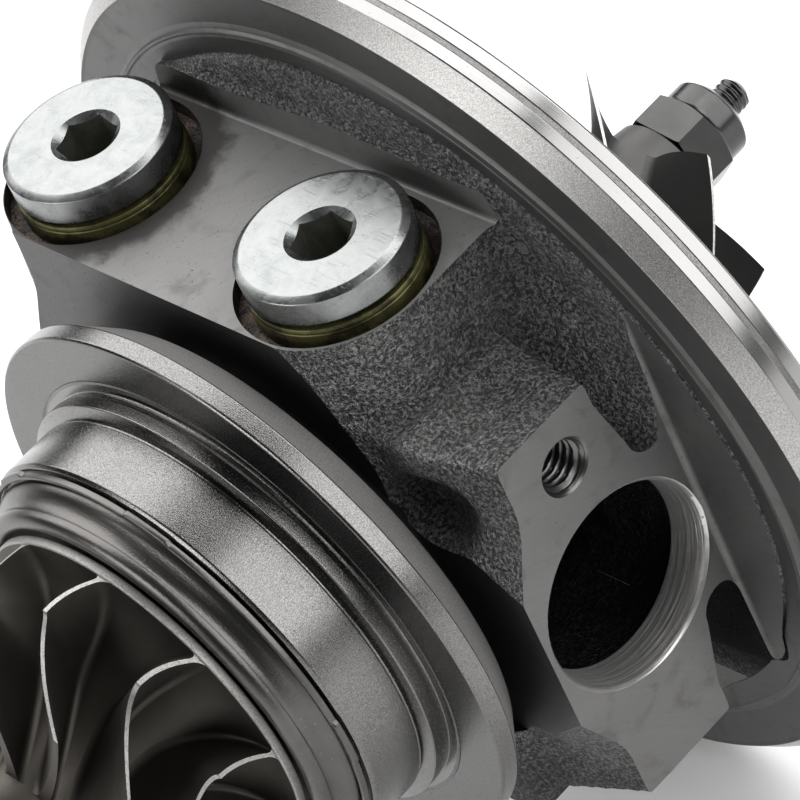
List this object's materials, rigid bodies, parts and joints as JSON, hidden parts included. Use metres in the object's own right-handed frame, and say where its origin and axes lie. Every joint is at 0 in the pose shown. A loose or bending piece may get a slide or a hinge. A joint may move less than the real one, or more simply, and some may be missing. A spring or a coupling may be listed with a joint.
{
  "type": "turbo cartridge",
  "caption": "Water-cooled turbocharger centre cartridge: bearing housing with clamp flange and disc, turbine and compressor wheels on a free-turning shaft, plugged coolant pad and oil drain pad.",
  "frame": {"origin": "on the shaft axis, in the front face of the turbine-side clamp flange", "axes": "+X along the shaft from the turbine to the compressor, +Z is the outward normal of the pad with the two port plugs, -Y is the outward normal of the oil drain pad"},
  "size_m": [0.1184, 0.111, 0.1112],
  "materials": {
    "machined_cast_iron": "cast iron, turned and milled on its faces",
    "zinc_plated_steel": "bright zinc plating",
    "olive_passivated_washer": "olive passivated",
    "satin_stainless_sheet": "satin pressed sheet",
    "spring_steel_ring": "dull spring steel",
    "bearing_brass": "fine turned",
    "phosphated_circlip": "phosphated black",
    "thrust_bearing_bronze": "ground faces",
    "hardened_steel_collar": "ground",
    "turned_seal_plate": "fine turned",
    "seal_rubber": "matt black",
    "ground_steel_shaft": "ground",
    "cast_nickel_alloy": "investment cast, blade edges ground",
    "cast_aluminium_wheel": "cast, blade edges turned",
    "bright_steel_nut": "bright turned"
  },
  "bodies": {
    "housing": {"bearing_housing": "machined_cast_iron", "port_plug_1": "zinc_plated_steel", "port_plug_2": "zinc_plated_steel", "plug_washer_1": "olive_passivated_washer", "plug_washer_2": "olive_passivated_washer", "heat_shield": "satin_stainless_sheet", "spring_ring": "spring_steel_ring", "bush_circlip_1": "phosphated_circlip", "bush_circlip_2": "phosphated_circlip", "bush_circlip_3": "phosphated_circlip", "thrust_bearing": "thrust_bearing_bronze", "oil_deflector": "satin_stainless_sheet", "seal_plate": "turned_seal_plate", "seal_plate_o_ring": "seal_rubber", "seal_plate_retainer": "phosphated_circlip", "turbine_piston_ring": "spring_steel_ring", "compressor_piston_ring": "spring_steel_ring"},
    "rotor": {"rotor_shaft": "ground_steel_shaft", "turbine_wheel": "cast_nickel_alloy", "thrust_collar": "hardened_steel_collar", "seal_sleeve": "hardened_steel_collar", "compressor_wheel": "cast_aluminium_wheel", "shaft_nut": "bright_steel_nut"},
    "turbine_side_bush": {"turbine_side_bush": "bearing_brass"},
    "compressor_side_bush": {"compressor_side_bush": "bearing_brass"}
  },
  "joints": [
    {"name": "shaft_spin", "type": "hinge", "parent": "housing", "child": "rotor", "pos_m": [0, 0, 0], "axis": [1, 0, 0], "continuous": true},
    {"name": "turbine_bush_spin", "type": "hinge", "parent": "housing", "child": "turbine_side_bush", "pos_m": [0.0059, 0, 0], "axis": [1, 0, 0], "continuous": true},
    {"name": "compressor_bush_spin", "type": "hinge", "parent": "housing", "child": "compressor_side_bush", "pos_m": [0.0216, 0, 0], "axis": [1, 0, 0], "continuous": true}
  ],
  "couplings": [
    {"joint": "turbine_bush_spin", "follows": "shaft_spin", "ratio": 0.25},
    {"joint": "compressor_bush_spin", "follows": "shaft_spin", "ratio": 0.25}
  ]
}
